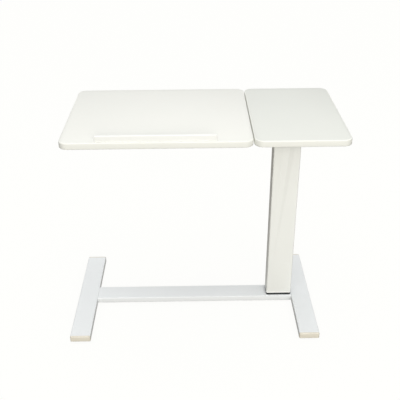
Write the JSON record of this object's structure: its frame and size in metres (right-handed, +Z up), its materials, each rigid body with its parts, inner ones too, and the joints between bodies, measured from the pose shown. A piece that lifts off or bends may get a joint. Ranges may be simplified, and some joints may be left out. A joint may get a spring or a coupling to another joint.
{
  "type": "overbed table",
  "caption": "Overbed table on an H-shaped base, with a lifting column, a fixed side top, a tilting main top with a book stop, a release lever and a tilt clamp.",
  "frame": {"origin": "on the floor, under the middle of the whole table", "axes": "+Z up, +X along the width from the main top towards the column and the side top, -Y towards the user and the book stop"},
  "size_m": [0.832, 0.45, 0.703],
  "materials": {
    "frame_paint": "satin powder coat, cool white",
    "column_paint": "satin powder coat, warm white",
    "zinc_steel": "zinc plated steel",
    "bright_steel": "bright zinc plated steel",
    "chrome_rod": "polished",
    "black_paint": "semi-gloss black",
    "black_rubber": "matt",
    "cream_plastic": "matt, slightly aged",
    "dark_plastic": "fine texture",
    "white_nylon": "smooth",
    "main_laminate": "smooth white melamine on fibreboard",
    "side_laminate": "smooth white melamine on fibreboard",
    "edge_plastic": "soft satin",
    "stop_plastic": "satin",
    "brass": "turned"
  },
  "bodies": {
    "base": {"left_foot": "frame_paint", "right_foot": "frame_paint", "crossbar": "frame_paint", "foot_end_caps": "cream_plastic", "floor_glides": "dark_plastic", "crossbar_spacers": "bright_steel", "column_bolts": "bright_steel", "column_foot_plate": "zinc_steel", "foot_gasket": "black_rubber", "inner_column": "zinc_steel", "upper_guide": "white_nylon", "gas_spring_cylinder": "black_paint", "gas_spring_gland": "black_rubber", "gas_spring_pin": "bright_steel"},
    "lift": {"outer_column": "column_paint", "lower_guide": "white_nylon", "gas_spring_rod": "chrome_rod", "gas_spring_piston": "black_rubber", "release_head": "zinc_steel", "release_head_screws": "bright_steel", "rod_nut": "bright_steel", "lever_pivot_pin": "bright_steel", "head_plate": "frame_paint", "head_gussets": "frame_paint", "support_tube": "frame_paint", "support_gusset": "frame_paint", "support_tube_cap": "dark_plastic", "retaining_collar": "zinc_steel", "clamp_arm": "zinc_steel", "clamp_bolt": "bright_steel", "clamp_washer": "bright_steel", "small_top_board": "side_laminate", "small_top_edge_band": "edge_plastic", "small_top_screws": "bright_steel"},
    "height_lever": {"release_lever": "zinc_steel", "lever_grip": "dark_plastic"},
    "valve_pin": {"release_pin": "bright_steel"},
    "tilting_top": {"main_top_board": "main_laminate", "main_top_edge_band": "edge_plastic", "book_stop": "stop_plastic", "book_stop_screws": "bright_steel", "left_saddle": "zinc_steel", "right_saddle": "zinc_steel", "tilt_bushes": "white_nylon", "tilt_quadrant": "zinc_steel", "bracket_screws": "bright_steel"},
    "tilt_clamp": {"clamp_lever": "dark_plastic", "clamp_lever_insert": "brass"}
  },
  "joints": [
    {"name": "column_lift", "type": "slide", "parent": "base", "child": "lift", "axis": [0, 0, 1], "range_m": [0, 0.32]},
    {"name": "lever_squeeze", "type": "hinge", "parent": "lift", "child": "height_lever", "pos_m": [0.2895, 0.0035, 0.65], "axis": [0, -1, 0], "range_deg": [0, 8], "stiffness_Nm_per_rad": 8, "springref_deg": -5.73},
    {"name": "valve_press", "type": "slide", "parent": "lift", "child": "valve_pin", "axis": [0, 0, -1], "range_m": [0, 0.0031]},
    {"name": "top_tilt", "type": "hinge", "parent": "lift", "child": "tilting_top", "pos_m": [-0.11875, 0.0035, 0.6425], "axis": [1, 0, 0], "range_deg": [0, 35]},
    {"name": "clamp_turn", "type": "hinge", "parent": "lift", "child": "tilt_clamp", "pos_m": [0.0851, 0.0035, 0.6005], "axis": [1, 0, 0], "range_deg": [0, 60]}
  ],
  "couplings": [
    {"joint": "valve_press", "follows": "lever_squeeze", "m_per_rad": 0.022}
  ]
}
